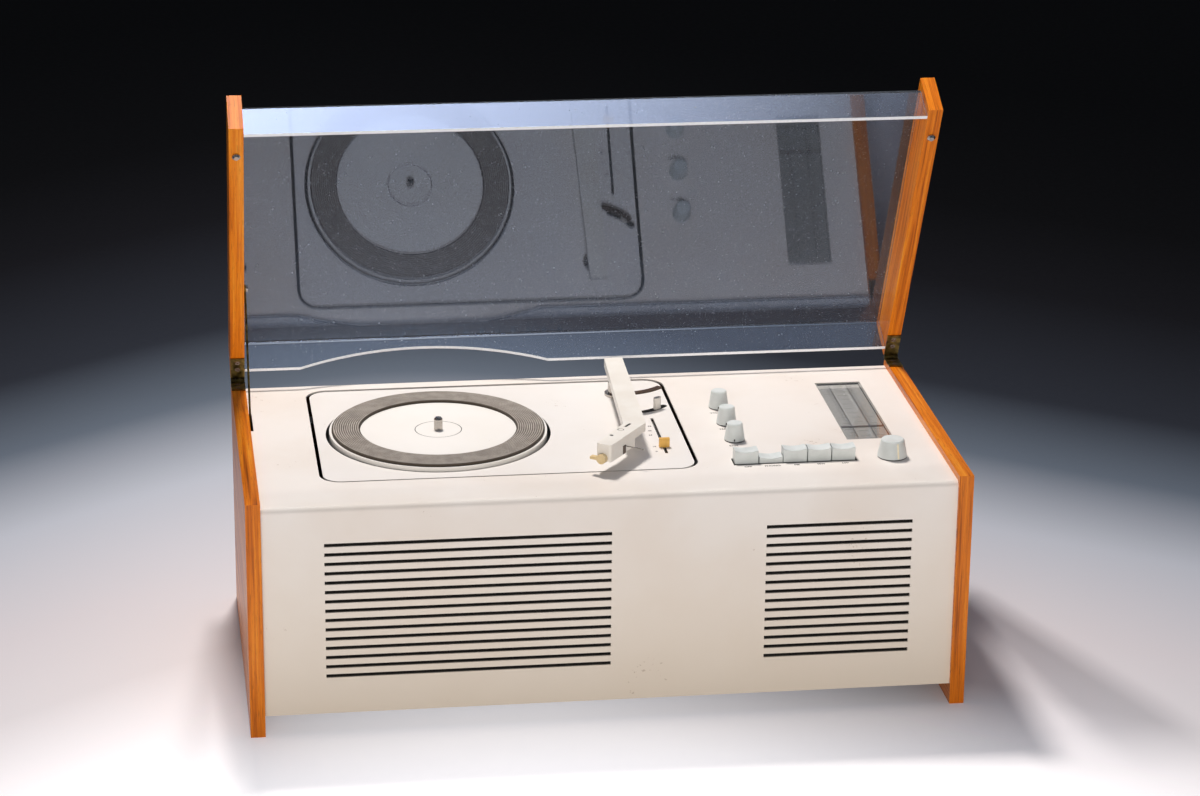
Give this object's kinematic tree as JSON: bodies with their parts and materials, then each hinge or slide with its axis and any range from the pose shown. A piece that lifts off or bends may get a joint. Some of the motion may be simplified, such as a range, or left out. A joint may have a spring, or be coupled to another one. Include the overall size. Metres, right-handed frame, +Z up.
{
  "type": "table radiogram",
  "caption": "Table radiogram with wooden side panels, bent steel housing, turntable, tonearm, push buttons, knobs and tuning dial under a hinged clear lid.",
  "frame": {"origin": "on the floor under the middle of the bounding box, with the lid open as pictured", "axes": "+X to the right seen from the front, +Y to the rear, +Z up"},
  "size_m": [0.584, 0.327, 0.4787],
  "materials": {
    "lacquered_wood": "clear lacquer over straight vertical grain",
    "cream_paint": "satin off-white enamel",
    "grey_paint": "satin grey enamel",
    "hardboard": "matt brown pressed board",
    "steel": "dull turned steel",
    "plated_steel": "zinc plated sheet",
    "black_rubber": "matt",
    "mat_rubber": "matt with fine ribs",
    "black_plastic": "moulded",
    "black_cloth": "open weave",
    "cone_paper": "pressed paper",
    "magnet_iron": "dark",
    "aluminium": "plain",
    "brass": "aged",
    "valve_glass": "clear",
    "dial_grey": "printed scale",
    "dial_glass": "clear",
    "dark_pointer": "dark",
    "white_plastic": "smooth",
    "pale_grey_plastic": "smooth",
    "tan_plastic": "aged",
    "brown_plastic": "smooth",
    "clear_acrylic": "polished clear sheet"
  },
  "bodies": {
    "cabinet": {"left_side_panel": "lacquered_wood", "right_side_panel": "lacquered_wood", "housing_shell": "cream_paint", "turntable_plate": "cream_paint", "base_plate": "grey_paint", "rear_board": "hardboard", "rear_board_screws": "steel", "cord_grommet": "black_rubber", "socket_strip": "black_plastic", "grille_cloths": "black_cloth", "speaker_basket": "grey_paint", "speaker_cone": "cone_paper", "speaker_magnet": "magnet_iron", "radio_chassis": "plated_steel", "transformers": "magnet_iron", "valves": "valve_glass", "tuning_capacitor": "aluminium", "control_potentiometers": "plated_steel", "tuning_bush": "brass", "button_switch_bank": "black_plastic", "dial_scale_tray": "dial_grey", "dial_glass": "dial_glass", "plate_brackets": "plated_steel", "suspension_mounts": "black_rubber", "platter_bearing": "brass", "drive_motor": "plated_steel", "tonearm_pillar": "white_plastic", "arm_rest": "dark_pointer", "hinge_lower_leaves": "brass", "hinge_pins": "steel", "hinge_lower_screws": "steel"},
    "platter_body": {"platter": "white_plastic", "platter_mat": "mat_rubber", "spindle": "steel"},
    "idler": {"idler_wheel": "black_rubber"},
    "pulley": {"motor_pulley": "brass"},
    "bass_control": {"bass_knob": "pale_grey_plastic"},
    "treble_control": {"treble_knob": "pale_grey_plastic"},
    "volume_control": {"volume_knob": "pale_grey_plastic"},
    "tuning_control": {"tuning_knob": "pale_grey_plastic"},
    "pointer": {"dial_pointer": "dark_pointer"},
    "speed_selector": {"speed_lever": "white_plastic", "speed_lever_cap": "tan_plastic"},
    "arm_yoke": {"tonearm_yoke": "steel"},
    "arm": {"tonearm": "white_plastic", "cartridge": "brown_plastic"},
    "turnover": {"turnover_knob": "tan_plastic"},
    "lid": {"left_lid_cheek": "lacquered_wood", "right_lid_cheek": "lacquered_wood", "lid_cover": "clear_acrylic", "hinge_upper_leaves": "brass", "hinge_upper_screws": "steel", "lid_bumpers": "steel", "stay_pivot_screw": "steel"},
    "stay": {"stay_rod": "brass"},
    "button_1": {"push_button_1": "pale_grey_plastic"},
    "button_2": {"push_button_2": "pale_grey_plastic"},
    "button_3": {"push_button_3": "pale_grey_plastic"},
    "button_4": {"push_button_4": "pale_grey_plastic"},
    "button_5": {"push_button_5": "pale_grey_plastic"}
  },
  "joints": [
    {"name": "lid_hinge", "type": "hinge", "parent": "cabinet", "child": "lid", "pos_m": [0, 0.12651, 0.2015], "axis": [-1, 0, 0], "range_deg": [-63, 0]},
    {"name": "stay_swing", "type": "hinge", "parent": "lid", "child": "stay", "pos_m": [-0.2785, 0.10481, 0.29145], "axis": [1, 0, 0], "range_deg": [-63, 0]},
    {"name": "platter_spin", "type": "hinge", "parent": "cabinet", "child": "platter_body", "pos_m": [-0.12499, 0.00001, 0.1945], "axis": [0, 0, 1], "continuous": true},
    {"name": "idler_spin", "type": "hinge", "parent": "cabinet", "child": "idler", "pos_m": [-0.07669, 0.00001, 0.155], "axis": [0, 0, 1], "continuous": true},
    {"name": "pulley_spin", "type": "hinge", "parent": "cabinet", "child": "pulley", "pos_m": [-0.05939, 0.00001, 0.15], "axis": [0, 0, 1], "continuous": true},
    {"name": "bass_turn", "type": "hinge", "parent": "cabinet", "child": "bass_control", "pos_m": [0.11698, -0.04549, 0.1945], "axis": [0, 0, 1], "range_deg": [-150, 150]},
    {"name": "treble_turn", "type": "hinge", "parent": "cabinet", "child": "treble_control", "pos_m": [0.11698, -0.00569, 0.1945], "axis": [0, 0, 1], "range_deg": [-150, 150]},
    {"name": "volume_turn", "type": "hinge", "parent": "cabinet", "child": "volume_control", "pos_m": [0.11698, 0.03411, 0.1945], "axis": [0, 0, 1], "range_deg": [-150, 150]},
    {"name": "tuning_turn", "type": "hinge", "parent": "cabinet", "child": "tuning_control", "pos_m": [0.23901, -0.09749, 0.1945], "axis": [0, 0, 1], "range_deg": [-220, 740]},
    {"name": "pointer_slide", "type": "slide", "parent": "cabinet", "child": "pointer", "axis": [0, 1, 0], "range_m": [-0.031, 0.1036]},
    {"name": "button_1_press", "type": "slide", "parent": "cabinet", "child": "button_1", "axis": [0, 0, 1], "range_m": [-0.006, 0], "stiffness_N_per_m": 200, "springref_m": 0.003},
    {"name": "button_2_press", "type": "slide", "parent": "cabinet", "child": "button_2", "axis": [0, 0, 1], "range_m": [0, 0.006]},
    {"name": "button_3_press", "type": "slide", "parent": "cabinet", "child": "button_3", "axis": [0, 0, 1], "range_m": [-0.006, 0], "stiffness_N_per_m": 200, "springref_m": 0.003},
    {"name": "button_4_press", "type": "slide", "parent": "cabinet", "child": "button_4", "axis": [0, 0, 1], "range_m": [-0.006, 0], "stiffness_N_per_m": 200, "springref_m": 0.003},
    {"name": "button_5_press", "type": "slide", "parent": "cabinet", "child": "button_5", "axis": [0, 0, 1], "range_m": [-0.006, 0], "stiffness_N_per_m": 200, "springref_m": 0.003},
    {"name": "speed_select", "type": "slide", "parent": "cabinet", "child": "speed_selector", "axis": [0, 1, 0], "range_m": [0, 0.054]},
    {"name": "arm_swing", "type": "hinge", "parent": "cabinet", "child": "arm_yoke", "pos_m": [0.0355, 0.07651, 0.2055], "axis": [0, 0, 1], "range_deg": [-36, 0]},
    {"name": "arm_lift", "type": "hinge", "parent": "arm_yoke", "child": "arm", "pos_m": [0.0355, 0.07651, 0.215], "axis": [-1, 0, 0], "range_deg": [0, 20]},
    {"name": "stylus_turnover", "type": "hinge", "parent": "arm", "child": "turnover", "pos_m": [-0.0017, -0.11049, 0.2077], "axis": [0.6018, 0.7986, 0], "range_deg": [0, 180]}
  ],
  "couplings": [
    {"joint": "stay_swing", "follows": "lid_hinge", "ratio": 1},
    {"joint": "idler_spin", "follows": "platter_spin", "ratio": -2.4286},
    {"joint": "pulley_spin", "follows": "platter_spin", "ratio": 11.333},
    {"joint": "pointer_slide", "follows": "tuning_turn", "m_per_rad": 0.008}
  ]
}
